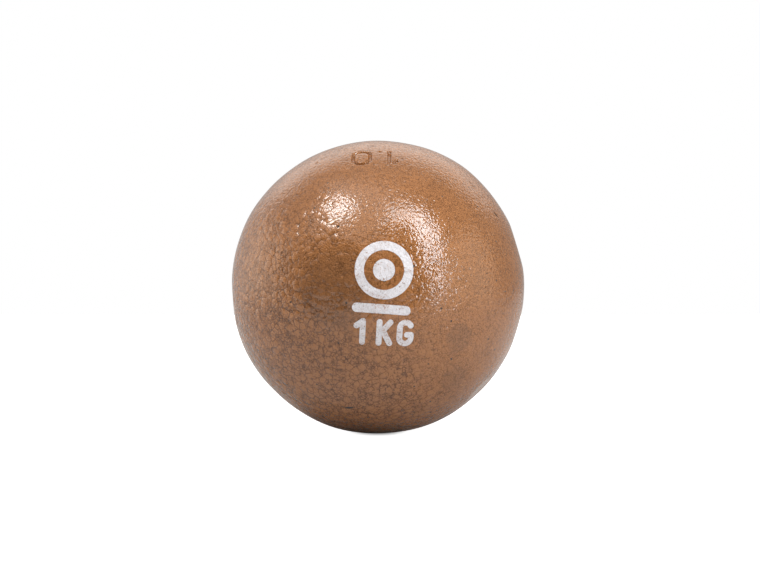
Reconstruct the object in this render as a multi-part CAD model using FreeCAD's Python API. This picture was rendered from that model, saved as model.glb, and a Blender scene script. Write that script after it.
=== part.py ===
# A 1 kg cast-iron throwing ball with a hammertone finish, in its own frame, in millimetres.
#
# The origin is the ball's centre. +Z is up as the ball lies at rest, and -Y is the printed side.
# The ball is a sand-cast sphere of grey iron. A tapped bore in its underside holds a slug of lead
# that brings the ball up to its mass. A socket set screw closes the bore, and filler levels the
# screw with the iron. One coat of hammertone enamel covers everything. A mass number is sunk in
# the iron near the top, and an emblem and the mass are printed in white on the front.

import FreeCAD, Part
import math
import os

Vector = FreeCAD.Vector

# ---------------------------------------------------------------- driving dimensions
ball_diameter = 64.4
coat_thickness = 0.20
ink_thickness = 0.08

# mass number sunk in the iron, upside down to someone who looks at the printed side
mark_elevation = 64.0          # degrees above the horizontal, on the -Y side
mark_offset = -0.6             # towards +X
mark_height = 6.5
mark_depth = 0.57
mark_stroke = 1.1
mark_one_width = 2.7
mark_zero_width = 4.7
mark_gap = 3.0                 # between the two figures, with the decimal point in its middle

# flats left where gates were ground off: azimuth from -Y towards +X, elevation, depth
ground_flats = ((88.0, 17.0, 0.25), (88.0, -16.0, 0.25), (-88.0, -4.0, 0.22), (70.0, -42.0, 0.13))

# ballast bore and what fills it
bore_depth = 29.0              # from the bottom of the iron to the shoulder of the drilled hole
bore_diameter = 8.5            # the tapping drill of the thread below
drill_point_angle = 118.0
thread_diameter = 10.0
thread_pitch = 1.5
thread_length = 13.0
thread_clearance = 0.05        # radial, on the screw and again in the hole
counterbore_diameter = 11.0
counterbore_depth = 1.0
screw_length = 10.5
screw_chamfer = 0.75
socket_across_flats = 5.0
socket_depth = 5.0
lead_gap = 0.7                 # free height between the lead and the screw
trim_drill_diameter = 5.0      # dimple drilled in the lead when the ball is trimmed to its mass
trim_drill_depth = 1.6

# print on the front
print_offset = 1.15            # of emblem and legend, towards +X
emblem_elevation = 8.6
emblem_turn = -4.0             # degrees; less than zero is clockwise as seen from the front
emblem_width = 12.0
emblem_stroke = 1.9
emblem_disc_diameter = 4.5
emblem_bar_gap = 1.0
legend_elevation = -11.9
legend_turn = -3.0
legend_height = 5.7
legend_stroke = 1.2
legend_widths = (2.5, 3.4, 3.5)
legend_gaps = (2.2, 0.8)

# ---------------------------------------------------------------- derived sizes
ball_radius = ball_diameter / 2
iron_radius = ball_radius - coat_thickness
bore_radius = bore_diameter / 2
thread_crest_radius = thread_diameter / 2
screw_face_z = -iron_radius + counterbore_depth
screw_end_z = screw_face_z + screw_length
lead_face_z = screw_end_z + lead_gap
bore_end_z = -iron_radius + bore_depth
flank_slope = math.tan(math.radians(30))
origin = Vector(0, 0, 0)
up = Vector(0, 0, 1)
os.makedirs("parts", exist_ok=True)


# ---------------------------------------------------------------- helpers
def surface_frame(azimuth, elevation, turn=0.0, offset=0.0):
    """Placement at the centre whose Z leaves through the surface there, with Y up the ball's side."""
    steps = (
        (Vector(), FreeCAD.Rotation(up, azimuth)),
        (Vector(), FreeCAD.Rotation(Vector(1, 0, 0), 90 - elevation)),
        (Vector(offset, 0, 0), FreeCAD.Rotation(up, turn)),
    )
    frame = FreeCAD.Placement()
    for shift, rotation in steps:
        frame = frame.multiply(FreeCAD.Placement(shift, rotation))
    return frame


def cylinder(radius, low, high):
    return Part.makeCylinder(radius, high - low, Vector(0, 0, low), up)


def turned(outline):
    """Solid of revolution about Z from an outline of (radius, z) points."""
    corners = [Vector(radius, 0, z) for radius, z in outline]
    return Part.Face(Part.makePolygon(corners + corners[:1])).revolve(origin, up, 360)


def fused(shapes):
    first, *others = shapes
    return first.multiFuse(others).removeSplitter() if others else first


def drill_point(radius):
    """Height of the cone that a twist drill leaves."""
    return radius / math.tan(math.radians(drill_point_angle / 2))


# ---------------------------------------------------------------- strokes and figures
def curve(points):
    """A straight edge through two points, or an arc through three."""
    return (Part.LineSegment(*points) if len(points) == 2 else Part.Arc(*points)).toShape()


def left_of(points):
    """Unit vectors to the left of a straight run or an arc, at each of its points."""
    if len(points) == 2:
        along = points[1] - points[0]
        return [Vector(-along.y, along.x, 0).normalize()] * 2
    centre = curve(points).Curve.Center
    turns_left = (points[1] - points[0]).cross(points[2] - points[1]).z > 0
    return [(point - centre).normalize() * (-1 if turns_left else 1) for point in points]


def stroke_face(path, width):
    """Flat outline of a stroke along smoothly joined runs and arcs: a loop, or round at its ends."""
    runs = [[Vector(x, y, 0) for x, y in points] for points in path]
    lefts = [left_of(points) for points in runs]
    half = width / 2
    sides = []
    for side in (half, -half):
        shifted = [[p + left * side for p, left in zip(*run)] for run in zip(runs, lefts)]
        sides.append([curve(points) for points in shifted])
    if runs[0][0].isEqual(runs[-1][-1], 1e-6):
        small, large = sorted((Part.Face(Part.Wire(side)) for side in sides), key=lambda face: face.Area)
        return large.cut(small)
    caps = []
    for end, left, sign in ((runs[-1][-1], lefts[-1][-1], 1), (runs[0][0], lefts[0][0], -1)):
        ahead = Vector(left.y, -left.x, 0) * sign
        caps.append(curve([end + left * half, end + ahead * half, end - left * half]))
    left_side, right_side = sides
    return Part.Face(Part.Wire(left_side + [caps[0]] + right_side[::-1] + [caps[1]]))


def disc_face(radius, x, y):
    return Part.Face(Part.Wire(Part.makeCircle(radius, Vector(x, y, 0))))


def one(w, h):
    """Centre lines of a 1 with a flag."""
    return [
        [((w / 2, -h / 2), (w / 2, h / 2))],
        [((w / 2, h / 2), (-w / 2, h / 2 - 0.8 * w))],
    ]


def zero(w, h):
    """Centre line of an upright 0 with straight sides."""
    shoulder = (h - w) / 2
    return [[
        ((w / 2, shoulder), (0, h / 2), (-w / 2, shoulder)),
        ((-w / 2, shoulder), (-w / 2, -shoulder)),
        ((-w / 2, -shoulder), (0, -h / 2), (w / 2, -shoulder)),
        ((w / 2, -shoulder), (w / 2, shoulder)),
    ]]


def letter_k(w, h):
    """Centre lines of a K."""
    return [
        [((-w / 2, -h / 2), (-w / 2, h / 2))],
        [((-w / 2, -0.10 * h), (w / 2, h / 2))],
        [((-0.18 * w, 0.12 * h), (w / 2, -h / 2))],
    ]


def letter_g(w, h):
    """Centre lines of a G with straight sides and a spur."""
    shoulder = (h - w) / 2
    level = -0.08 * h
    tip = math.radians(25)
    top = math.radians(100)
    arc_points = [(w / 2 * math.cos(a), shoulder + w / 2 * math.sin(a)) for a in (tip, top, math.pi)]
    return [
        [
            tuple(arc_points),
            ((-w / 2, shoulder), (-w / 2, -shoulder)),
            ((-w / 2, -shoulder), (0, -h / 2), (w / 2, -shoulder)),
            ((w / 2, -shoulder), (w / 2, level)),
        ],
        [((w / 2, level), (0.16 * w, level))],
    ]


def figures(glyphs, widths, gaps, height, full_stroke, stroke):
    """Flat faces of figures in a row about the origin, sized over full_stroke, drawn at stroke."""
    left = -(sum(widths) + sum(gaps)) / 2
    faces = []
    for glyph, width, gap in zip(glyphs, widths, gaps + (0.0,)):
        strokes = [stroke_face(path, stroke) for path in glyph(width - full_stroke, height - full_stroke)]
        face = fused(strokes)
        face.translate(Vector(left + width / 2, 0, 0))
        faces.append(face)
        left += width + gap
    return faces


def on_ball(flats, placement, inner_radius, outer_radius):
    """The flat faces, pushed straight out along the placement's Z, within a spherical layer."""
    layer = Part.makeSphere(outer_radius).cut(Part.makeSphere(inner_radius))
    solids = []
    for flat in flats:
        prism = flat.extrude(up * ball_diameter)
        prism.Placement = placement
        solids += prism.common(layer).Solids
    return Part.makeCompound(solids)


# ---------------------------------------------------------------- the casting and its coat
def sunk_mark(stroke, floor_radius):
    """Cutter for the mass number: two figures and a point, down to a spherical floor."""
    widths = (mark_one_width, mark_zero_width)
    flats = figures((one, zero), widths, (mark_gap,), mark_height, mark_stroke, stroke)
    point_x = (mark_one_width - mark_zero_width) / 2
    point_y = (mark_stroke - mark_height) / 2
    flats.append(disc_face(stroke / 2, point_x, point_y))
    placement = surface_frame(0.0, mark_elevation, turn=180.0, offset=mark_offset)
    return on_ball(flats, placement, floor_radius, ball_radius + 2.0)


def dressed_ball(radius, stroke):
    """The ball with its ground flats and sunk mark, as bare iron or over the coat."""
    ball = Part.makeSphere(radius)
    for azimuth, elevation, depth in ground_flats:
        stock = cylinder(ball_radius, radius - depth, ball_diameter)
        stock.Placement = surface_frame(azimuth, elevation)
        ball = ball.cut(stock)
    return ball.cut(sunk_mark(stroke, radius - mark_depth))


def iron_skin():
    return dressed_ball(iron_radius, mark_stroke)


def thread_ridge(root_radius, crest_radius, low, high):
    """A helical 60 degree ridge, sunk a little below its root, a pitch longer at each end."""
    base_radius = root_radius - 0.1
    crest_half = thread_pitch / 16
    base_half = crest_half + (crest_radius - base_radius) * flank_slope
    corners = [
        Vector(base_radius, 0, base_half),
        Vector(crest_radius, 0, crest_half),
        Vector(crest_radius, 0, -crest_half),
        Vector(base_radius, 0, -base_half),
    ]
    helix = Part.makeHelix(thread_pitch, high - low + 2 * thread_pitch, base_radius)
    ridge = Part.Wire(helix).makePipeShell([Part.makePolygon(corners + corners[:1])], True, True)
    ridge.translate(up * (low - thread_pitch))
    return ridge


def iron_casting():
    bore = turned([
        (0, -ball_radius),
        (bore_radius, -ball_radius),
        (bore_radius, bore_end_z),
        (0, bore_end_z + drill_point(bore_radius)),
    ])
    counterbore = cylinder(counterbore_diameter / 2, -ball_radius, screw_face_z)
    thread_end_z = screw_face_z + thread_length
    thread = thread_ridge(bore_radius, thread_crest_radius + thread_clearance, screw_face_z, thread_end_z)
    thread = thread.common(cylinder(thread_diameter, screw_face_z - 1.0, thread_end_z))
    return iron_skin().cut(fused([bore, counterbore])).cut(thread)


def lead_ballast():
    trim_radius = trim_drill_diameter / 2
    trim_end_z = lead_face_z + trim_drill_depth
    return turned([
        (0, trim_end_z),
        (trim_radius, trim_end_z - drill_point(trim_radius)),
        (trim_radius, lead_face_z),
        (bore_radius, lead_face_z),
        (bore_radius, bore_end_z),
        (0, bore_end_z + drill_point(bore_radius)),
    ])


def hex_prism(low, high):
    corner_radius = socket_across_flats / math.sqrt(3)
    corners = []
    for step in range(6):
        angle = math.radians(60 * step)
        corners.append(Vector(corner_radius * math.cos(angle), corner_radius * math.sin(angle), low))
    return Part.Face(Part.makePolygon(corners + corners[:1])).extrude(up * (high - low))


def closing_screw():
    crest = thread_crest_radius - thread_clearance
    root = crest - 0.6134 * thread_pitch
    core = cylinder(root, screw_face_z, screw_end_z)
    ends = turned([
        (0, screw_face_z),
        (crest - screw_chamfer, screw_face_z),
        (crest, screw_face_z + screw_chamfer),
        (crest, screw_end_z - screw_chamfer),
        (crest - screw_chamfer, screw_end_z),
        (0, screw_end_z),
    ])
    thread = thread_ridge(root, crest, screw_face_z, screw_end_z).common(ends)
    return core.fuse(thread).cut(hex_prism(screw_face_z - 1.0, screw_face_z + socket_depth))


def filler_cap():
    disc = cylinder(counterbore_diameter / 2, -ball_radius, screw_face_z).common(Part.makeSphere(iron_radius))
    return fused([disc, hex_prism(screw_face_z - 0.5, screw_face_z + socket_depth)])


def enamel_coat():
    """The coat lies on the iron all over, on the floor and walls of the sunk mark too."""
    return dressed_ball(ball_radius, mark_stroke - 2 * coat_thickness).cut(iron_skin())


# ---------------------------------------------------------------- the print
def printed(flats, elevation, turn):
    placement = surface_frame(0.0, elevation, turn=turn, offset=print_offset)
    return on_ball(flats, placement, ball_radius, ball_radius + ink_thickness)


def emblem_print():
    """A disc in a ring over a bar."""
    ring_radius = (emblem_width - emblem_stroke) / 2
    ring_y = (emblem_bar_gap + emblem_stroke) / 2
    bar_y = ring_y - (emblem_width + emblem_stroke) / 2 - emblem_bar_gap
    radii = (emblem_width / 2, emblem_width / 2 - emblem_stroke, emblem_disc_diameter / 2)
    outer, inner, middle = [disc_face(radius, 0, ring_y) for radius in radii]
    bar = stroke_face([((-ring_radius, bar_y), (ring_radius, bar_y))], emblem_stroke)
    return printed([outer.cut(inner), middle, bar], emblem_elevation, emblem_turn)


def legend_print():
    """The mass and its unit in plain capitals."""
    glyphs = (one, letter_k, letter_g)
    flats = figures(glyphs, legend_widths, legend_gaps, legend_height, legend_stroke, legend_stroke)
    return printed(flats, legend_elevation, legend_turn)


# ---------------------------------------------------------------- write the parts
pieces = (
    iron_casting,
    lead_ballast,
    closing_screw,
    filler_cap,
    enamel_coat,
    emblem_print,
    legend_print,
)
for make in pieces:
    name = make.__name__
    shape = make()
    print(f"{name}: {len(shape.Solids)} solids, valid {shape.isValid()}, {shape.Volume / 1000:.3f} cm3")
    shape.exportStep(f"parts/{name}.step")
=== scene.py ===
# A cast-iron throwing ball in copper hammertone enamel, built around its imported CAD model.
# Lengths in this script are in units of which the ball's radius holds 51, so that they follow the
# CAD model's size, and angles are degrees. Blender's own units are metres. Azimuth 0 is the printed
# side, -Y, and azimuth grows towards +X.
import math

import bmesh
import bpy
import numpy as np
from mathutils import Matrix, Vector


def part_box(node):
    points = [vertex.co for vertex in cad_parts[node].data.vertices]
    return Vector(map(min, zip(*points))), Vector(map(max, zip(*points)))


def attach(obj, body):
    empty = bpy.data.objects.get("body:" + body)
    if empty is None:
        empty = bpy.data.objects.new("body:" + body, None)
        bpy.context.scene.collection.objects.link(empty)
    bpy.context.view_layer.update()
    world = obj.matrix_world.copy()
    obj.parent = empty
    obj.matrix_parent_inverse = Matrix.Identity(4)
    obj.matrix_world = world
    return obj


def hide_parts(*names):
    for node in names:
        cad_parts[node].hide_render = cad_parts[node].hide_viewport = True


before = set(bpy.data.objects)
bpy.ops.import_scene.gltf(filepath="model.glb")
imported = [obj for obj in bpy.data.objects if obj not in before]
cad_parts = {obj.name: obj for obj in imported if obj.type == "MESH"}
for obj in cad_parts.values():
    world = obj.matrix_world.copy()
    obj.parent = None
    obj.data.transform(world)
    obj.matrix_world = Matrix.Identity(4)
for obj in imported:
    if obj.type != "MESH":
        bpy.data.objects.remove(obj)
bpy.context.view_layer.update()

SEED = 4

# ---------------------------------------------------------------- the ball's shape
low_corner, high_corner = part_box("enamel_coat")
BALL_RADIUS = 51.0             # this defines the script's unit
UNIT = (high_corner.z - low_corner.z) / 2 / BALL_RADIUS
SKIN_CELLS = 108               # mesh cells along each side of the cube that is blown up to a sphere
FINE_CUTS = 3                  # extra cuts across a cell near the sunk mark and the nicks

# flats left by grinding, as in the CAD: azimuth, elevation, depth
GROUND_FLATS = ((88.0, 17.0, 0.40), (88.0, -16.0, 0.40), (-88.0, -4.0, 0.35), (70.0, -42.0, 0.20))
FLAT_EDGE_SOFTNESS = 0.04
LEAST_COSINE = 0.5             # keeps a flat's plane at a finite distance over the rest of the ball

# broad swells of the casting: azimuth, elevation, height, reach in degrees
SWELLS = (
    (-84.0, -27.0, 0.36, 17.0),
    (-80.0, 30.0, 0.34, 16.0),
    (82.0, 57.0, 0.38, 15.0),
    (60.0, -66.0, 0.26, 15.0),
    (92.0, 1.0, 0.20, 8.0),
    (-60.0, -68.0, 0.42, 16.0),
    (150.0, 20.0, 0.35, 22.0),
    (-140.0, -15.0, 0.30, 20.0),
    (178.0, -48.0, 0.28, 18.0),
    (120.0, 62.0, 0.22, 16.0),
)
WAVE_COUNT = 14                # weak random waves over the whole casting
WAVE_HEIGHT = 0.012
WAVE_LENGTHS = (9.0, 26.0)

# nicks and pits: azimuth, elevation, length, width, depth, turn from level
NICKS = (
    (-16.0, -47.4, 3.6, 0.7, 0.16, 10.0),
    (-76.0, -12.0, 2.2, 1.0, 0.16, 80.0),
    (66.0, 31.0, 3.2, 0.9, 0.16, -60.0),
    (-18.2, 30.2, 4.6, 0.5, 0.10, 30.0),
    (-16.6, 27.4, 0.8, 0.7, 0.15, 0.0),
    (8.0, 60.0, 0.8, 0.6, 0.12, 0.0),
    (21.0, -25.0, 0.7, 0.6, 0.15, 0.0),
    (-29.0, -35.0, 0.9, 0.6, 0.15, 30.0),
    (35.0, -52.0, 0.9, 0.6, 0.12, 0.0),
    (150.0, 12.0, 2.8, 0.8, 0.16, 35.0),
    (-120.0, 38.0, 1.8, 1.1, 0.15, -20.0),
    (-150.0, -30.0, 3.4, 0.7, 0.16, 70.0),
    (110.0, -24.0, 1.4, 1.0, 0.15, 0.0),
)
NICK_MARGIN = 0.8              # finely meshed border around each

# ---------------------------------------------------------------- the sunk mass number, as in the CAD
MARK_ELEVATION = 64.0
MARK_OFFSET = -0.95
MARK_HEIGHT = 10.3
MARK_STROKE = 1.74
MARK_DEPTH = 0.9
MARK_ONE_WIDTH = 4.28
MARK_ZERO_WIDTH = 7.44
MARK_GAP = 4.75
MARK_FLAG_DROP = 0.8           # how far the 1's flag comes down, in widths of the 1
MARK_FLOOR_HALF_WIDTH = 0.25
MARK_MARGIN = 1.5              # finely meshed border around it

# ---------------------------------------------------------------- the print
INK_STANDS = 0.05              # over the enamel
INK_SINKS = 0.05               # of its underside, into the enamel
INK_EDGE = 0.7                 # longest mesh edge
INK_CUT_ROUNDS = 6
INK_WELD = 0.001               # points nearer than this become one
INK_SHARP_ANGLE = 40.0

# ---------------------------------------------------------------- the enamel's colours and pattern
COPPER_LIGHT = (0.365, 0.154, 0.055, 1.0)
COPPER_DARK = (0.192, 0.077, 0.025, 1.0)
COPPER_EDGE = (1.0, 0.70, 0.50, 1.0)
VEIN = (0.085, 0.027, 0.007, 1.0)
# painted highlight: the colour of the glints on the big cells' rims
CELL_RIM_GLINT = (0.62, 0.29, 0.12, 1.0)
SOOT = (0.040, 0.020, 0.012, 1.0)
PINHOLE = (0.014, 0.020, 0.021, 1.0)
# the colour of the rubbed patches, also used for the painted shade on the front left of the print
SMUDGE_AND_SHADE = (0.120, 0.060, 0.032, 1.0)
SCRATCH = (0.85, 0.72, 0.60, 1.0)

# In the pairs below the first value is where a thing begins and the second where it is full. After
# an azimuth and an elevation they are cosines of the angle from there. The others are values of noise
# or of a cell's random draw, from 0 to 1, where the comment doesn't say otherwise.

# where the paint sagged into cells: azimuth, elevation, wavelength and strength of its wavy edge, pair
SAGGED_LEFT = (-52.0, -30.0, 26.0, 0.9, (0.50, 1.00))
SAGGED_BELOW = (-40.0, -46.0, 22.0, 0.5, (0.72, 1.10))
# where the orange peel is finer and flatter: azimuth, elevation, pair, strength
CALM_PLACES = ((-19.0, 34.0, (0.93, 0.98), 1.0), (25.0, 30.0, (0.95, 0.985), 0.55))

BIG_CELL = 2.2
SMALL_CELL = 1.15
CELL_WARP = (2.0, 0.45)        # wavelength and push
BIG_CELL_DRAWN = (0.42, 0.44)  # by its random draw; small cells fill the others
BIG_BULGE = 0.32
SMALL_BULGE = (0.07, 0.15, 0.05)    # over most of the ball, in the sagged left, in calm places

# orange peel: wavelength, detail, push of its warp
PEEL_COARSE = (0.80, 0.4, 0.5)
PEEL_FINE = (0.56, 0.2, 0.4)
PEEL_WARP = 1.6
PEEL_HEIGHT = (0.18, 0.10, 0.070)   # in the same three places

FLAKE = 0.36                   # wavelength of the metal flakes, and their turn away from the axes
FLAKE_TURN = (0.5, 0.7, 0.3)
GRAIN = 0.42                   # wavelength of the bumps under the clear layer
GRAIN_HEIGHT = 0.26
PATCH = 7.0                    # wavelength of broad lighter and darker patches

# shares of each layer in the tone, which runs from dark to light copper
TONE_PATCH = 0.26
TONE_FLAKE = 0.85
TONE_PEEL = 0.18
TONE_CELL_DRAW = 0.14
TONE_CELL_RIM = 0.30
TONE_CELL_LIFT = (0.125, 0.170)     # of small and big cells
TONE_CELL_SHARE = (0.55, 1.0)       # outside and inside the sagged left
TONE_RANGE = (0.49, 0.74)

VEIN_WIDTHS = (0.20, 0.12)          # of small and big cells
VEIN_BREAKS = (1.3, (0.30, 0.60))   # wavelength, pair
VEIN_STRENGTHS = (0.10, 0.52)       # outside and inside the part sagged below
VEIN_SAGGED_LEFT = 0.30

# painted highlights: glints on the rims of the big cells, between two distances from a cell's edge
RIM_GLINT_OUTER = (0.05, 0.12)
RIM_GLINT_INNER = (0.24, 0.14)
RIM_GLINT_PLACE = (-56.0, 4.0, (0.80, 0.96))      # azimuth, elevation, pair
RIM_GLINT_BREAKS = (0.9, (0.42, 0.60))            # wavelength, pair
RIM_GLINT_SHARE = 0.55

# dots: cell size, wavelength and push of its warp, pair of the draw, pair of the dot's radius, share
PINHOLE_DOTS = (3.1, (1.0, 0.25), (0.60, 0.62), (0.14, 0.09), 0.95)
PINHOLE_CLUSTERS = (13.0, (0.43, 0.55))
PINHOLE_DEPTH = 0.08
SOOT_DOTS = (0.95, (0.8, 0.3), (0.40, 0.44), (0.42, 0.12), 0.70)
SOOT_CLUSTERS = (9.0, (0.45, 0.60))

# rubbed, greyer patches, the first of them a broad painted shade on the front left of the print: azimuth,
# elevation, reach in degrees, strength
SMUDGES_AND_SHADE = (
    # painted shade, not a rubbed patch: darker on the front left of the print
    (-16.0, 3.0, 14.0, 0.40),
    (33.0, -15.0, 3.2, 0.30),
    (36.0, -33.0, 3.4, 0.24),
    (-150.0, 8.0, 4.5, 0.15),
    (128.0, -30.0, 3.8, 0.15),
)
SMUDGE_AND_SHADE_EDGE = (1.3, 0.4)            # where it begins and is full, in shares of its reach
SMUDGE_AND_SHADE_TORN = (3.0, 0.10)           # wavelength and strength of its uneven edge

# dark chips and pale scratches: azimuth, elevation, length, width, turn from level, how pale
CHIPS_AND_SCRATCHES = (
    (-16.0, -47.4, 4.0, 1.4, 10.0, 0.0),
    (-76.0, -12.0, 2.4, 1.4, 80.0, 0.0),
    (66.0, 31.0, 3.4, 1.1, -60.0, 0.0),
    (-16.6, 27.4, 1.2, 1.0, 0.0, 0.0),
    (-29.0, -35.0, 1.1, 0.8, 30.0, 0.0),
    (-41.0, -23.0, 0.9, 0.7, 0.0, 0.0),
    (21.0, -25.0, 0.8, 0.7, 0.0, 0.0),
    (-30.0, 35.0, 0.9, 0.7, 0.0, 0.0),
    (-18.2, 30.2, 5.4, 0.70, 30.0, 1.0),
    (-20.4, 28.7, 2.6, 0.50, 22.0, 1.0),
    (150.0, 12.0, 3.0, 0.9, 35.0, 0.0),
    (-150.0, -30.0, 3.4, 0.8, 70.0, 0.0),
    (-128.0, -4.0, 3.0, 0.40, -35.0, 0.6),
)
CHIP_SHARE = 0.85
OVAL_CORE = 0.35               # where a chip is full, as the square of its share of the oval
FAR_SIDE_PENALTY = 5.0         # keeps an oval off the opposite side of the ball

# ---------------------------------------------------------------- the other materials' colours
INK_WHITE = (0.78, 0.76, 0.79, 1.0)
INK_GREY = (0.60, 0.57, 0.58, 1.0)
INK_GREYS = (0.38, 0.68)            # where its grain is grey and where it is white
INK_RUBBED_SIDE = (60.0, -30.0)     # azimuth, elevation
INK_RUBBED_MORE = 0.10              # towards that side
INK_THIN = ((0.53, 0.68), (0.50, 0.62))     # pairs of the blotches and of the grain
INK_THIN_SHARE = 0.75
INK_SPECKS = (0.66, 0.71)
INK_SPECKS_SHARE = 0.8
INK_RELIEF = 0.7                    # share of the enamel's relief that shows through

IRON_DARK = (0.13, 0.13, 0.14, 1.0)
IRON_PALE = (0.27, 0.27, 0.28, 1.0)
RUST = (0.20, 0.11, 0.07, 1.0)
LEAD_DARK = (0.19, 0.20, 0.23, 1.0)
LEAD_PALE = (0.36, 0.37, 0.39, 1.0)
STEEL_DARK = (0.035, 0.035, 0.04, 1.0)
STEEL_PALE = (0.12, 0.12, 0.125, 1.0)
LATHE_SQUEEZE = (1.0, 1.0, 9.0)     # turns noise into thin layers across the screw's axis
FILLER_DARK = (0.46, 0.42, 0.34, 1.0)
FILLER_PALE = (0.60, 0.57, 0.50, 1.0)
FILLER_GRIT = (0.24, 0.21, 0.17, 1.0)

# ---------------------------------------------------------------- camera and stage
CAMERA_ELEVATION = 5.0
CAMERA_LENS = 85.0
CAMERA_SENSOR = 36.0
BALL_SHARE_OF_WIDTH = 0.3832
CAMERA_SHIFT = (0.0028, 0.0025)
WHITE = (1.0, 1.0, 1.0, 1.0)
FLOOR_HALF_SIDE = 400.0
FLOOR_CLOUD = 400.0            # wavelength of its faint unevenness
FLOOR_GREYS = ((0.58, 0.58, 0.58, 1.0), (0.62, 0.62, 0.62, 1.0))
FLOOR_FADE = (51.0, 52.4)      # the floor fades to plain white between these distances

# the surroundings, between two values of a direction's Y, then dimmer between two values of its X
WALLS_BEGIN = (-0.65, -0.05)
FRONT_RADIANCE = 0.03
WALL_RADIANCE = 0.52
RIGHT_DIMS = (0.10, 0.60)
RIGHT_SHARE = 0.65

SOFTBOX_DISTANCE = 900.0
# softboxes: name, azimuth, elevation, width and height as angles, radiance, coolness
SOFTBOXES = (
    ("key", -57.0, 60.5, 11.0, 10.0, 9.5, 0.0),
    ("key_skirt", -57.0, 59.5, 19.0, 15.0, 7.2, 0.0),
    ("key_glow", -34.0, 62.0, 56.0, 50.0, 1.05, -0.07),
    ("overhead", 31.0, 59.0, 26.0, 11.0, 7.2, 0.02),
    ("top_right", 48.0, 43.0, 13.0, 22.0, 12.5, 0.04),
    ("strip_right", 45.5, 14.0, 7.5, 36.0, 11.0, 0.06),
    ("right_wall", 78.0, 2.0, 45.0, 60.0, 1.10, -0.20),
    ("left_wall", -104.0, 0.0, 50.0, 50.0, 0.94, -0.17),
    ("back_left", -145.0, 5.0, 40.0, 50.0, 0.15, 0.0),
    ("back_panel", 180.0, 38.0, 80.0, 28.0, 0.9, -0.05),
)


def direction(azimuth, elevation):
    """Unit vector that leaves the ball's centre at an azimuth and an elevation."""
    a, e = math.radians(azimuth), math.radians(elevation)
    return np.array((math.sin(a) * math.cos(e), -math.cos(a) * math.cos(e), math.sin(e)))


def surface_axes(azimuth, elevation, turn=0.0):
    """Unit vectors along and up the ball's side at a place, turned anticlockwise as seen from outside."""
    a, t = math.radians(azimuth), math.radians(turn)
    right = np.array((math.cos(a), math.sin(a), 0.0))
    up = np.cross(direction(azimuth, elevation), right)
    return right * math.cos(t) + up * math.sin(t), up * math.cos(t) - right * math.sin(t)


def smoothstep(low, high, x):
    """0 below low and 1 above high, with a smooth change between."""
    t = np.clip((x - low) / (high - low), 0.0, 1.0)
    return t * t * (3.0 - 2.0 * t)


# ---------------------------------------------------------------- the surface as a formula
def segment_distance(x, y, start, end):
    """How far places lie from a straight line between two points."""
    start, end = np.array(start), np.array(end)
    along = end - start
    share = ((x - start[0]) * along[0] + (y - start[1]) * along[1]) / along.dot(along)
    share = np.clip(share, 0.0, 1.0)
    return np.hypot(x - start[0] - share * along[0], y - start[1] - share * along[1])


def mark_coordinates(points):
    """Where points on the ball fall in the mark's own upright frame."""
    right, up = surface_axes(0.0, MARK_ELEVATION)
    return MARK_OFFSET - points @ right, -(points @ up)


def mark_distance(points):
    """How far points on the ball lie from the centre lines of the figures and the point between them."""
    x, y = mark_coordinates(points)
    h = MARK_HEIGHT - MARK_STROKE
    one_w = MARK_ONE_WIDTH - MARK_STROKE
    zero_w = MARK_ZERO_WIDTH - MARK_STROKE
    row_width = MARK_ONE_WIDTH + MARK_GAP + MARK_ZERO_WIDTH
    one_x = (MARK_ONE_WIDTH - row_width) / 2
    zero_x = (row_width - MARK_ZERO_WIDTH) / 2
    point_x = (MARK_ONE_WIDTH - MARK_ZERO_WIDTH) / 2
    stem = one_x + one_w / 2
    corners = ((stem, -h / 2), (stem, h / 2), (one_x - one_w / 2, h / 2 - MARK_FLAG_DROP * one_w))
    distances = [segment_distance(x, y, *ends) for ends in zip(corners, corners[1:])]
    shoulder = (h - zero_w) / 2
    core = segment_distance(x, y, (zero_x, -shoulder), (zero_x, shoulder))
    distances.append(np.abs(core - zero_w / 2))
    distances.append(np.hypot(x - point_x, y + h / 2))
    return np.min(distances, axis=0)


def mark_depth(units):
    """Depth of the soft-edged grooves, on the printed upper side only."""
    groove = 1.0 - smoothstep(MARK_FLOOR_HALF_WIDTH, MARK_STROKE / 2, mark_distance(units * BALL_RADIUS))
    return MARK_DEPTH * groove * (units @ direction(0.0, MARK_ELEVATION) > 0)


def waves(units):
    """Sum of weak random plane waves, never below zero."""
    rng = np.random.default_rng(SEED)
    total = np.zeros(len(units))
    for _ in range(WAVE_COUNT):
        axis = rng.normal(size=3)
        axis /= np.linalg.norm(axis)
        number = 2 * math.pi * BALL_RADIUS / rng.uniform(*WAVE_LENGTHS)
        total += 1.0 + np.sin(units @ axis * number + rng.uniform(0, 2 * math.pi))
    return WAVE_HEIGHT * total


def nick_depth(units):
    """Depth of the nicks and pits, each a soft oval dip."""
    depth = np.zeros(len(units))
    for azimuth, elevation, length, width, deep, turn in NICKS:
        along, across = surface_axes(azimuth, elevation, turn)
        place = direction(azimuth, elevation)
        x = units @ along * BALL_RADIUS / (length / 2)
        y = units @ across * BALL_RADIUS / (width / 2)
        dip = np.exp(-(x * x + y * y) ** 1.5) * (units @ place > 0)
        depth = np.maximum(depth, deep * dip)
    return depth


def surface_radius(units):
    """Radius of the painted surface in each direction: swells, flats, the sunk mark and nicks."""
    radius = BALL_RADIUS + waves(units)
    for azimuth, elevation, height, reach in SWELLS:
        angle = np.degrees(np.arccos(np.clip(units @ direction(azimuth, elevation), -1, 1)))
        radius = radius + height * np.exp(-(angle / reach) ** 2)
    for azimuth, elevation, depth in GROUND_FLATS:
        cosine = np.maximum(units @ direction(azimuth, elevation), LEAST_COSINE)
        plane = (BALL_RADIUS - depth) / cosine
        soft = FLAT_EDGE_SOFTNESS
        radius = -soft * np.logaddexp(-radius / soft, -plane / soft)
    return radius - mark_depth(units) - nick_depth(units)


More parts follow.
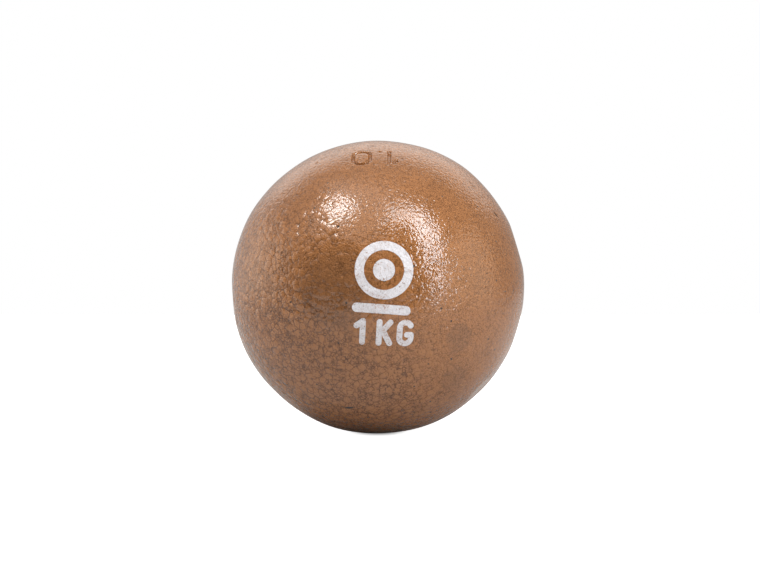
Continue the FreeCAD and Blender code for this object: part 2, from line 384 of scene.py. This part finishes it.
# ---------------------------------------------------------------- meshes
def cube_sphere(cells):
    """Unit vectors and quads of a cube blown up to a sphere, with cells of nearly even size."""
    line = np.tan(np.linspace(-math.pi / 4, math.pi / 4, cells + 1))
    u, v = np.meshgrid(line, line, indexing="ij")
    one = np.ones_like(u)
    sides = ((u, v, one), (v, u, -one), (one, u, v), (-one, v, u), (v, one, u), (u, -one, v))
    points = np.concatenate([np.stack(side, axis=-1).reshape(-1, 3) for side in sides])
    points /= np.linalg.norm(points, axis=1, keepdims=True)
    corner = np.arange(cells * (cells + 1)).reshape(cells, cells + 1)[:, :-1].reshape(-1)
    quads = np.stack((corner, corner + cells + 1, corner + cells + 2, corner + 1), axis=1)
    quads = np.concatenate([quads + side * (cells + 1) ** 2 for side in range(len(sides))])
    _, first, same = np.unique(points.round(9), axis=0, return_index=True, return_inverse=True)
    return points[first], same.reshape(-1)[quads]


def wants_fine_cells(units):
    """Directions close enough to the mark or to a nick to need a finer mesh."""
    points = units * BALL_RADIUS
    x, y = mark_coordinates(points)
    half_width = (MARK_ONE_WIDTH + MARK_GAP + MARK_ZERO_WIDTH) / 2 + MARK_MARGIN
    in_mark = (np.abs(x) < half_width) & (np.abs(y) < MARK_HEIGHT / 2 + MARK_MARGIN)
    wanted = in_mark & (units @ direction(0.0, MARK_ELEVATION) > 0)
    for azimuth, elevation, length, *_ in NICKS:
        away = np.linalg.norm(points - direction(azimuth, elevation) * BALL_RADIUS, axis=1)
        wanted |= away < length / 2 + NICK_MARGIN
    return wanted


def vertex_array(mesh):
    flat = np.empty(len(mesh.vertices) * 3)
    mesh.vertices.foreach_get("co", flat)
    return flat.reshape(-1, 3)


def unit_rows(points):
    return points / np.linalg.norm(points, axis=1, keepdims=True)


def new_object(name, mesh):
    piece = bpy.data.objects.new(name, mesh)
    bpy.context.scene.collection.objects.link(piece)
    return piece


def make_skin():
    """The painted surface as one closed mesh, finer near the mark and the nicks."""
    units, quads = cube_sphere(SKIN_CELLS)
    mesh = bpy.data.meshes.new("hammertone_skin")
    mesh.from_pydata(units.tolist(), [], quads.tolist())
    bm = bmesh.new()
    bm.from_mesh(mesh)
    bm.faces.ensure_lookup_table()
    centres = unit_rows(np.array([face.calc_center_median() for face in bm.faces]))
    fine = [bm.faces[i] for i in np.flatnonzero(wants_fine_cells(centres))]
    edges = sorted({edge for face in fine for edge in face.edges}, key=lambda edge: edge.index)
    bmesh.ops.subdivide_edges(bm, edges=edges, cuts=FINE_CUTS, use_grid_fill=True)
    many_sided = [face for face in bm.faces if len(face.verts) > 4]
    bmesh.ops.triangulate(bm, faces=many_sided)
    bmesh.ops.recalc_face_normals(bm, faces=bm.faces)
    bm.to_mesh(mesh)
    bm.free()
    units = unit_rows(vertex_array(mesh))
    points = units * surface_radius(units)[:, None] * UNIT
    mesh.vertices.foreach_set("co", points.reshape(-1))
    mesh.shade_smooth()
    return new_object("hammertone_skin", mesh)


def make_ink(name, node):
    """The CAD print, cut finer and laid on the uneven enamel."""
    bm = bmesh.new()
    bm.from_mesh(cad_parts[node].data)
    bmesh.ops.remove_doubles(bm, verts=bm.verts, dist=INK_WELD * UNIT)
    for _ in range(INK_CUT_ROUNDS):
        long_edges = [edge for edge in bm.edges if edge.calc_length() > INK_EDGE * UNIT]
        if long_edges:
            bmesh.ops.subdivide_edges(bm, edges=long_edges, cuts=1)
            bmesh.ops.triangulate(bm, faces=[face for face in bm.faces if len(face.verts) > 3])
    bmesh.ops.recalc_face_normals(bm, faces=bm.faces)
    for edge in bm.edges:
        edge.smooth = edge.calc_face_angle(0.0) < math.radians(INK_SHARP_ANGLE)
    for face in bm.faces:
        face.smooth = True
    mesh = bpy.data.meshes.new(name)
    bm.to_mesh(mesh)
    bm.free()
    points = vertex_array(mesh) / UNIT
    units = unit_rows(points)
    height = np.linalg.norm(points, axis=1) - BALL_RADIUS
    share = height / height.max()
    radius = surface_radius(units) - INK_SINKS + share * (INK_STANDS + INK_SINKS)
    mesh.vertices.foreach_set("co", (units * radius[:, None] * UNIT).reshape(-1))
    mesh.update()
    return new_object(name, mesh)


# ---------------------------------------------------------------- materials
class Nodes:
    """A material's node tree with short ways to add nodes. An input given a socket is linked to it."""

    def __init__(self, name):
        self.material = bpy.data.materials.new(name)
        self.material.use_nodes = True
        self.tree = self.material.node_tree
        self.shader = self.tree.nodes["Principled BSDF"]
        place = self.add("ShaderNodeTexCoord").outputs["Object"]
        scaled = self.add("ShaderNodeVectorMath", {0: place, 3: 1 / UNIT}, operation="SCALE")
        self.place = scaled.outputs[0]

    def add(self, kind, inputs=None, **settings):
        node = self.tree.nodes.new(kind)
        for key, value in settings.items():
            setattr(node, key, value)
        for key, value in (inputs or {}).items():
            self.put(node.inputs[key], value)
        return node

    def put(self, socket, value):
        if isinstance(value, bpy.types.NodeSocket):
            self.tree.links.new(value, socket)
        else:
            socket.default_value = value

    def math(self, operation, a, b):
        return self.add("ShaderNodeMath", {0: a, 1: b}, operation=operation).outputs[0]

    def times(self, a, b):
        return self.math("MULTIPLY", a, b)

    def plus(self, a, b):
        return self.math("ADD", a, b)

    def minus(self, a, b):
        return self.math("SUBTRACT", a, b)

    def noise(self, wavelength, detail=2.0, roughness=0.5, place=None):
        inputs = {
            "Vector": place or self.place,
            "Scale": 1 / wavelength,
            "Detail": detail,
            "Roughness": roughness,
        }
        return self.add("ShaderNodeTexNoise", inputs)

    def voronoi(self, size, feature, place):
        return self.add("ShaderNodeTexVoronoi", {"Vector": place, "Scale": 1 / size}, feature=feature)

    def red(self, colour):
        return self.add("ShaderNodeSeparateColor", {0: colour}).outputs[0]

    def step(self, value, low, high, smooth=True):
        """0 below low, 1 above high; the other way round if low is the larger."""
        inputs = {"Value": value, "From Min": low, "From Max": high}
        kind = "SMOOTHSTEP" if smooth else "LINEAR"
        return self.add("ShaderNodeMapRange", inputs, interpolation_type=kind).outputs[0]

    def mix(self, share, a, b):
        node = self.add("ShaderNodeMix", data_type="RGBA", clamp_factor=True)
        for socket, value in ((node.inputs[0], share), (node.inputs[6], a), (node.inputs[7], b)):
            self.put(socket, value)
        return node.outputs[2]

    def mix_value(self, share, a, b):
        node = self.add("ShaderNodeMix", data_type="FLOAT", clamp_factor=True)
        for socket, value in ((node.inputs[0], share), (node.inputs[2], a), (node.inputs[3], b)):
            self.put(socket, value)
        return node.outputs[0]

    def warped(self, wavelength, amount, detail=2.0):
        """The place, pushed about by noise."""
        colour = self.noise(wavelength, detail).outputs["Color"]
        centred = self.add("ShaderNodeVectorMath", {0: colour, 1: (0.5, 0.5, 0.5)}, operation="SUBTRACT")
        push = self.add("ShaderNodeVectorMath", {0: centred.outputs[0], 3: amount}, operation="SCALE")
        total = self.add("ShaderNodeVectorMath", {0: self.place, 1: push.outputs[0]}, operation="ADD")
        return total.outputs[0]

    def bump(self, height, distance):
        return self.add("ShaderNodeBump", {"Height": height, "Distance": distance * UNIT}).outputs[0]

    def along(self, azimuth, elevation):
        """How far the place lies towards a side of the ball, from -1 to 1."""
        towards = tuple(direction(azimuth, elevation) / BALL_RADIUS)
        dot = self.add("ShaderNodeVectorMath", {0: self.place, 1: towards}, operation="DOT_PRODUCT")
        return dot.outputs["Value"]

    def oval(self, azimuth, elevation, length, width, turn):
        """1 inside a long oval at a place on the ball, fading to 0 at its edge."""
        share = self.times(self.minus(1.0, self.along(azimuth, elevation)), FAR_SIDE_PENALTY)
        for axis, size in zip(surface_axes(azimuth, elevation, turn), (length, width)):
            inputs = {0: self.place, 1: tuple(axis / (size / 2))}
            dot = self.add("ShaderNodeVectorMath", inputs, operation="DOT_PRODUCT").outputs["Value"]
            share = self.plus(share, self.times(dot, dot))
        return self.step(share, 1.0, OVAL_CORE)

    def finish(self, **sockets):
        """Sets or links inputs of the shader, named with underscores for spaces."""
        for name, value in sockets.items():
            self.put(self.shader.inputs[name.replace("_", " ")], value)
        return self.material


def wavy_share(n, azimuth, elevation, wavelength, strength, pair):
    """0 to 1 towards a side of the ball, past an edge that noise makes wavy."""
    wave = n.times(n.noise(wavelength, 2.0).outputs[0], strength)
    return n.step(n.plus(n.along(azimuth, elevation), wave), *pair)


def calm_share(n):
    """1 where the orange peel is finer and flatter."""
    shares = []
    for azimuth, elevation, pair, strength in CALM_PLACES:
        shares.append(n.times(n.step(n.along(azimuth, elevation), *pair), strength))
    return n.math("MAXIMUM", *shares)


def by_place(n, sagged, calm, usual, where_sagged, where_calm):
    """A value that differs in the sagged left and in the calm places."""
    return n.mix_value(calm, n.mix_value(sagged, usual, where_sagged), where_calm)


def dots(n, cell_size, warp, drawn, radius, share, where):
    """Small dots in some cells of a pattern, inside a share of the surface."""
    cells = n.voronoi(cell_size, "F1", n.warped(*warp))
    chosen = n.times(n.step(n.red(cells.outputs["Color"]), *drawn), where)
    dot = n.times(n.step(cells.outputs["Distance"], *radius), chosen)
    return dot, n.times(dot, share)


def clusters(n, wavelength, pair):
    return n.step(n.noise(wavelength, 2.0).outputs[0], *pair)


def smudged_and_shaded(n, colour):
    """The colour with the rubbed patches and the painted shade left of the print on it."""
    wavelength, strength_at_edge = SMUDGE_AND_SHADE_TORN
    torn = n.minus(n.noise(wavelength, 3.0, 0.6).outputs[0], 0.5)
    for azimuth, elevation, reach, strength in SMUDGES_AND_SHADE:
        edge, core = (math.cos(math.radians(reach * share)) for share in SMUDGE_AND_SHADE_EDGE)
        push = n.times(torn, strength_at_edge * math.radians(reach))
        uneven = n.plus(n.along(azimuth, elevation), push)
        colour = n.mix(n.times(n.step(uneven, edge, core), strength), colour, SMUDGE_AND_SHADE)
    return colour


def chipped(n, colour):
    """The colour with the chips and scratches on it."""
    for azimuth, elevation, length, width, turn, paleness in CHIPS_AND_SCRATCHES:
        chip_colour = tuple(dark + (pale - dark) * paleness for dark, pale in zip(PINHOLE, SCRATCH))
        oval = n.oval(azimuth, elevation, length, width, turn)
        colour = n.mix(n.times(oval, CHIP_SHARE), colour, chip_colour)
    return colour


def enamel_pattern(n):
    """Colour and height of the hammertone enamel: cells, veins, painted glints on the big cells' rims,
    orange peel, flakes, dots, wear and a painted shade left of the print.
    """
    sagged_left = wavy_share(n, *SAGGED_LEFT)
    sagged_below = wavy_share(n, *SAGGED_BELOW)
    calm = calm_share(n)

    # cells: some big ones in the sagged left, small ones everywhere else
    place = n.warped(*CELL_WARP)
    big = n.voronoi(BIG_CELL, "F1", place)
    small = n.voronoi(SMALL_CELL, "F1", place)
    big_edge = n.voronoi(BIG_CELL, "DISTANCE_TO_EDGE", place).outputs["Distance"]
    small_edge = n.voronoi(SMALL_CELL, "DISTANCE_TO_EDGE", place).outputs["Distance"]
    big_share = n.times(sagged_left, n.step(n.red(big.outputs["Color"]), *BIG_CELL_DRAWN))
    big_dome = n.math("POWER", big.outputs["Distance"], 2.0)
    small_dome = n.math("POWER", small.outputs["Distance"], 2.0)
    small_height = by_place(n, sagged_left, calm, *SMALL_BULGE)
    bulge = n.mix_value(big_share, n.times(small_dome, small_height), n.times(big_dome, BIG_BULGE))
    rim_share = n.mix_value(big_share, small_dome, big_dome)
    cell_draw = n.mix_value(big_share, n.red(small.outputs["Color"]), n.red(big.outputs["Color"]))

    # orange peel, flakes and broad patches
    peels = []
    for wavelength, detail, push in (PEEL_COARSE, PEEL_FINE):
        peels.append(n.noise(wavelength, detail, 0.5, n.warped(PEEL_WARP, push)).outputs[0])
    peel = n.mix_value(calm, *peels)
    rotation = {"Vector": n.place, "Rotation": FLAKE_TURN}
    turned = n.add("ShaderNodeVectorRotate", rotation, rotation_type="EULER_XYZ").outputs[0]
    flake = n.noise(FLAKE, 0.0, 0.5, turned).outputs[0]
    patch = n.noise(PATCH, 3.0, 0.6).outputs[0]

    # tone, from dark to light copper
    tone = n.plus(n.times(patch, TONE_PATCH), n.times(flake, TONE_FLAKE))
    tone = n.plus(tone, n.times(peel, TONE_PEEL))
    cell_tone = n.times(n.minus(cell_draw, 0.5), TONE_CELL_DRAW)
    cell_tone = n.minus(cell_tone, n.times(rim_share, TONE_CELL_RIM))
    cell_tone = n.plus(cell_tone, n.mix_value(big_share, *TONE_CELL_LIFT))
    tone = n.plus(tone, n.times(cell_tone, n.mix_value(sagged_left, *TONE_CELL_SHARE)))
    colour = n.mix(n.step(tone, *TONE_RANGE, smooth=False), COPPER_DARK, COPPER_LIGHT)

    # dark veins between cells
    widths = [n.step(edge, width, 0.0) for edge, width in zip((small_edge, big_edge), VEIN_WIDTHS)]
    wavelength, pair = VEIN_BREAKS
    broken = n.step(n.noise(wavelength, 2.0, 0.6).outputs[0], *pair)
    strength = n.plus(n.mix_value(sagged_below, *VEIN_STRENGTHS), n.times(sagged_left, VEIN_SAGGED_LEFT))
    colour = n.mix(n.times(n.mix_value(big_share, *widths), n.times(broken, strength)), colour, VEIN)

    # painted highlights: glints on the rims of the big cells, on the left of the ball
    azimuth, elevation, pair = RIM_GLINT_PLACE
    rim_glint_place = n.times(big_share, n.step(n.along(azimuth, elevation), *pair))
    wavelength, pair = RIM_GLINT_BREAKS
    rim_glint_broken = n.step(n.noise(wavelength, 1.0).outputs[0], *pair)
    rim_glint = n.times(n.step(big_edge, *RIM_GLINT_OUTER), n.step(big_edge, *RIM_GLINT_INNER))
    rim_glint = n.times(n.times(rim_glint, rim_glint_place), rim_glint_broken)
    colour = n.mix(n.times(rim_glint, RIM_GLINT_SHARE), colour, CELL_RIM_GLINT)

    # wear, the painted shade left of the print, and dots
    colour = smudged_and_shaded(n, colour)
    in_soot = n.times(clusters(n, *SOOT_CLUSTERS), sagged_below)
    _, soot_share = dots(n, *SOOT_DOTS, in_soot)
    colour = chipped(n, n.mix(soot_share, colour, SOOT))
    pinhole, pinhole_share = dots(n, *PINHOLE_DOTS, clusters(n, *PINHOLE_CLUSTERS))
    colour = n.mix(pinhole_share, colour, PINHOLE)

    peel_height = by_place(n, sagged_left, calm, *PEEL_HEIGHT)
    height = n.minus(n.times(peel, peel_height), bulge)
    height = n.minus(height, n.times(pinhole, PINHOLE_DEPTH))
    return colour, height


def hammertone_enamel():
    n = Nodes("hammertone_enamel")
    colour, height = enamel_pattern(n)
    normal = n.bump(height, 1.0)
    grain = n.times(n.noise(GRAIN, 1.0).outputs[0], GRAIN_HEIGHT)
    grained = n.bump(n.plus(height, grain), 1.0)
    return n.finish(
        Base_Color=colour,
        Metallic=0.20,
        Roughness=0.42,
        Specular_IOR_Level=0.0,
        Specular_Tint=COPPER_EDGE,
        Normal=grained,
        Coat_Weight=1.0,
        Coat_Roughness=0.10,
        Coat_IOR=1.6,
        Coat_Normal=normal,
    )


def white_ink():
    """Screen-printed ink, pinholed and rubbed thin in places, over the enamel's own relief."""
    n = Nodes("white_ink")
    under, height = enamel_pattern(n)
    grain = n.noise(wavelength=0.45, detail=2.0, roughness=0.6).outputs[0]
    blotch = n.noise(wavelength=2.6, detail=3.0, roughness=0.6).outputs[0]
    ink = n.mix(n.step(grain, *INK_GREYS, smooth=False), INK_GREY, INK_WHITE)
    rubbed = n.plus(blotch, n.times(n.along(*INK_RUBBED_SIDE), INK_RUBBED_MORE))
    thin_blotch, thin_grain = INK_THIN
    thin = n.times(n.step(rubbed, *thin_blotch), n.step(grain, *thin_grain))
    strewn = n.warped(wavelength=3.0, amount=2.0)
    specks = n.step(n.noise(wavelength=0.5, detail=1.0, place=strewn).outputs[0], *INK_SPECKS)
    worn = n.math("MAXIMUM", n.times(thin, INK_THIN_SHARE), n.times(specks, INK_SPECKS_SHARE))
    colour = n.mix(worn, ink, under)
    return n.finish(
        Base_Color=colour,
        Roughness=0.55,
        Normal=n.bump(n.times(height, INK_RELIEF), 1.0),
        Coat_Weight=0.15,
        Coat_Roughness=0.3,
    )


def bare_iron():
    n = Nodes("bare_iron")
    grain = n.noise(wavelength=1.1, detail=4.0, roughness=0.65).outputs[0]
    stain = n.noise(wavelength=9.0, detail=3.0, roughness=0.6).outputs[0]
    colour = n.mix(n.step(grain, 0.35, 0.7), IRON_DARK, IRON_PALE)
    colour = n.mix(n.step(stain, 0.55, 0.75), colour, RUST)
    return n.finish(
        Base_Color=colour,
        Metallic=0.85,
        Roughness=n.step(grain, 0.9, 0.1, smooth=False),
        Normal=n.bump(grain, 0.25),
    )


def lead():
    n = Nodes("lead")
    bloom = n.noise(wavelength=3.5, detail=3.0, roughness=0.6).outputs[0]
    creases = n.noise(wavelength=0.8, detail=2.0, roughness=0.5).outputs[0]
    colour = n.mix(n.step(bloom, 0.40, 0.65), LEAD_DARK, LEAD_PALE)
    return n.finish(
        Base_Color=colour,
        Metallic=0.8,
        Roughness=n.mix_value(bloom, 0.45, 0.75),
        Normal=n.bump(creases, 0.08),
    )


def screw_steel():
    n = Nodes("screw_steel")
    oxide = n.noise(wavelength=2.4, detail=3.0, roughness=0.55).outputs[0]
    rings = n.add("ShaderNodeVectorMath", {0: n.place, 1: LATHE_SQUEEZE}, operation="MULTIPLY")
    lathe = n.noise(wavelength=1.3, detail=2.0, roughness=0.5, place=rings.outputs[0]).outputs[0]
    colour = n.mix(n.step(oxide, 0.35, 0.7), STEEL_DARK, STEEL_PALE)
    return n.finish(
        Base_Color=colour,
        Metallic=0.95,
        Roughness=n.mix_value(oxide, 0.28, 0.5),
        Normal=n.bump(lathe, 0.03),
    )


def body_filler():
    n = Nodes("body_filler")
    grit = n.noise(wavelength=0.5, detail=3.0, roughness=0.6).outputs[0]
    cloud = n.noise(wavelength=5.0, detail=3.0, roughness=0.5).outputs[0]
    colour = n.mix(n.step(cloud, 0.35, 0.65), FILLER_DARK, FILLER_PALE)
    colour = n.mix(n.step(grit, 0.66, 0.72), colour, FILLER_GRIT)
    return n.finish(Base_Color=colour, Roughness=0.82, Normal=n.bump(grit, 0.06))


# ---------------------------------------------------------------- pieces
def wear(piece, material):
    piece.data.materials.clear()
    piece.data.materials.append(material)


skin = make_skin()
wear(skin, hammertone_enamel())
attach(skin, "root")
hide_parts("enamel_coat")

ink_material = white_ink()
for node in ("emblem_print", "legend_print"):
    ink = make_ink(node + "_ink", node)
    wear(ink, ink_material)
    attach(ink, "root")
    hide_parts(node)

for node, make_material in (
    ("iron_casting", bare_iron),
    ("lead_ballast", lead),
    ("closing_screw", screw_steel),
    ("filler_cap", body_filler),
):
    wear(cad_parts[node], make_material())


# ---------------------------------------------------------------- stage, light and camera
def make_floor():
    """A pale floor that shows as plain white to the camera, except for a faint shadow at the ball."""
    n = Nodes("pale_floor")
    cloud = n.noise(FLOOR_CLOUD, 2.0).outputs[0]
    away = n.add("ShaderNodeVectorMath", {0: n.place}, operation="LENGTH").outputs["Value"]
    seen = n.add("ShaderNodeLightPath").outputs["Is Camera Ray"]
    material = n.finish(
        Base_Color=n.mix(cloud, *FLOOR_GREYS),
        Roughness=0.9,
        Emission_Color=WHITE,
        Emission_Strength=n.times(n.step(away, *FLOOR_FADE), seen),
    )
    side = FLOOR_HALF_SIDE * UNIT
    level = vertex_array(skin.data)[:, 2].min()
    corners = [(-side, -side, level), (side, -side, level), (side, side, level), (-side, side, level)]
    mesh = bpy.data.meshes.new("floor")
    mesh.from_pydata(corners, [], [(0, 1, 2, 3)])
    mesh.materials.append(material)
    floor = new_object("floor", mesh)


def softbox(name, azimuth, elevation, width, height, radiance, coolness):
    """A rectangular light in a direction from the ball, facing it. Its width and height are angles."""
    data = bpy.data.lights.new(name, "AREA")
    data.shape = "RECTANGLE"
    data.size = 2 * SOFTBOX_DISTANCE * math.tan(math.radians(width / 2)) * UNIT
    data.size_y = 2 * SOFTBOX_DISTANCE * math.tan(math.radians(height / 2)) * UNIT
    data.energy = math.pi * data.size * data.size_y * radiance
    data.color = (1.0 - coolness, 1.0, 1.0 + coolness)
    unit = Vector(direction(azimuth, elevation))
    lamp = bpy.data.objects.new(name, data)
    lamp.location = unit * SOFTBOX_DISTANCE * UNIT
    lamp.rotation_mode = "QUATERNION"
    lamp.rotation_quaternion = unit.to_track_quat("Z", "Y")
    bpy.context.scene.collection.objects.link(lamp)


def faded(tree, value, ends, results):
    """A smooth change from one result to another as a value goes from one end to the other."""
    fade = tree.nodes.new("ShaderNodeMapRange")
    fade.interpolation_type = "SMOOTHSTEP"
    for name, number in zip(("From Min", "From Max", "To Min", "To Max"), ends + results):
        fade.inputs[name].default_value = number
    tree.links.new(value, fade.inputs["Value"])
    return fade.outputs[0]


def make_world():
    """Pale walls at the sides and behind, dark in front; plain white where it is seen directly."""
    world = bpy.data.worlds.new("studio")
    bpy.context.scene.world = world
    world.use_nodes = True
    tree = world.node_tree
    coordinates = tree.nodes.new("ShaderNodeTexCoord")
    split = tree.nodes.new("ShaderNodeSeparateXYZ")
    tree.links.new(coordinates.outputs["Generated"], split.inputs[0])
    walls = faded(tree, split.outputs["Y"], WALLS_BEGIN, (FRONT_RADIANCE, WALL_RADIANCE))
    dimming = faded(tree, split.outputs["X"], RIGHT_DIMS, (1.0, RIGHT_SHARE))
    product = tree.nodes.new("ShaderNodeMath")
    product.operation = "MULTIPLY"
    tree.links.new(walls, product.inputs[0])
    tree.links.new(dimming, product.inputs[1])

    surround = tree.nodes["Background"]
    surround.inputs["Color"].default_value = WHITE
    tree.links.new(product.outputs[0], surround.inputs["Strength"])
    seen = tree.nodes.new("ShaderNodeBackground")
    seen.inputs["Color"].default_value = WHITE
    seen.inputs["Strength"].default_value = 1.0
    path = tree.nodes.new("ShaderNodeLightPath")
    chooser = tree.nodes.new("ShaderNodeMixShader")
    tree.links.new(path.outputs["Is Camera Ray"], chooser.inputs[0])
    tree.links.new(surround.outputs[0], chooser.inputs[1])
    tree.links.new(seen.outputs[0], chooser.inputs[2])
    tree.links.new(chooser.outputs[0], tree.nodes["World Output"].inputs["Surface"])


def make_camera():
    data = bpy.data.cameras.new("camera")
    data.lens = CAMERA_LENS
    data.sensor_width = CAMERA_SENSOR
    data.shift_x, data.shift_y = CAMERA_SHIFT
    half_angle = math.atan(BALL_SHARE_OF_WIDTH / 2 * CAMERA_SENSOR / CAMERA_LENS)
    distance = BALL_RADIUS / math.sin(half_angle) * UNIT
    back = Vector(direction(0.0, CAMERA_ELEVATION))
    camera = bpy.data.objects.new("camera", data)
    camera.location = back * distance
    camera.rotation_mode = "QUATERNION"
    camera.rotation_quaternion = back.to_track_quat("Z", "Y")
    bpy.context.scene.collection.objects.link(camera)
    bpy.context.scene.camera = camera


bpy.context.scene.view_settings.view_transform = "Standard"
make_floor()
make_world()
make_camera()
for box in SOFTBOXES:
    softbox(*box)
